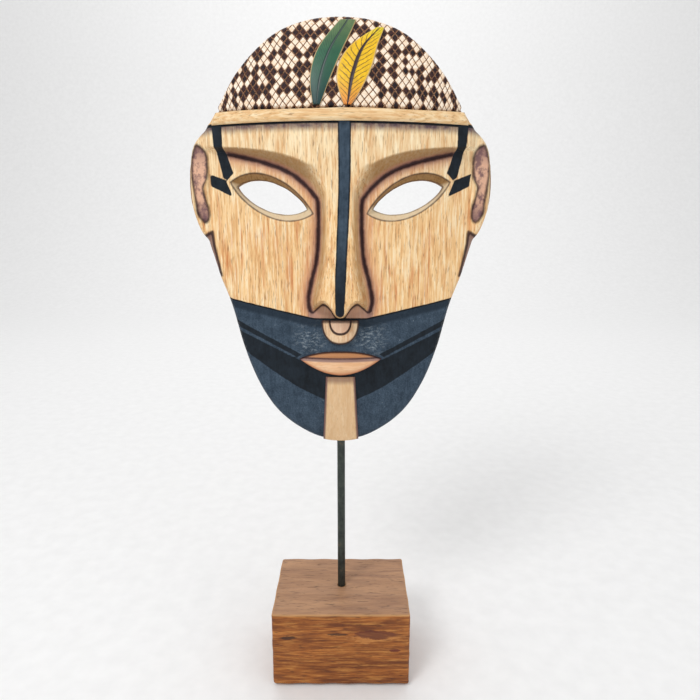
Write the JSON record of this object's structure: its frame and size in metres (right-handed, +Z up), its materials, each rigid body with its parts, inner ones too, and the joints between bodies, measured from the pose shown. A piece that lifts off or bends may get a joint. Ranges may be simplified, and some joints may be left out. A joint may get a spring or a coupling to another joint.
{
  "type": "folk art mask on stand",
  "caption": "Carved and painted wooden face mask with open eyes and a hollow back, on a thin steel rod in a hardwood block; it turns on the rod and lifts off.",
  "frame": {"origin": "centre of the felt's underside, straight below the rod", "axes": "+Z up along the rod; the face looks along -Y; +X is to the right of someone facing the mask"},
  "size_m": [0.2282, 0.08, 0.509],
  "materials": {
    "face_wood": "pale carved wood with vertical grain, burnt brown shading in the creases and matt blue-black paint on the lower face",
    "cap_paint": "carved diamond cells painted cream and black-brown, matt",
    "band_wood": "plain pale wood, burnt along both edges",
    "green_paint": "dark green satin paint with carved veins",
    "yellow_paint": "yellow satin paint with dark veins",
    "ring_wood": "pale wood with a burnt outline",
    "lip_paint": "thin brown and pink stain",
    "strip_wood": "plain pale wood",
    "rod_steel": "blackened steel, slightly worn",
    "block_wood": "oiled red-brown hardwood",
    "base_felt": "black felt"
  },
  "bodies": {
    "base": {"base_block": "block_wood", "base_felt": "base_felt"},
    "rod": {"stand_rod": "rod_steel"},
    "mask": {"face": "face_wood", "cap_panel": "cap_paint", "headband": "band_wood", "leaf_green": "green_paint", "leaf_yellow": "yellow_paint", "nose_ring": "ring_wood", "lips": "lip_paint", "chin_strip": "strip_wood"}
  },
  "joints": [
    {"name": "rod_turn", "type": "hinge", "parent": "base", "child": "rod", "pos_m": [0, 0, 0.066], "axis": [0, 0, 1], "continuous": true},
    {"name": "mask_lift", "type": "slide", "parent": "rod", "child": "mask", "axis": [0, 0, 1], "range_m": [0, 0.04]}
  ]
}
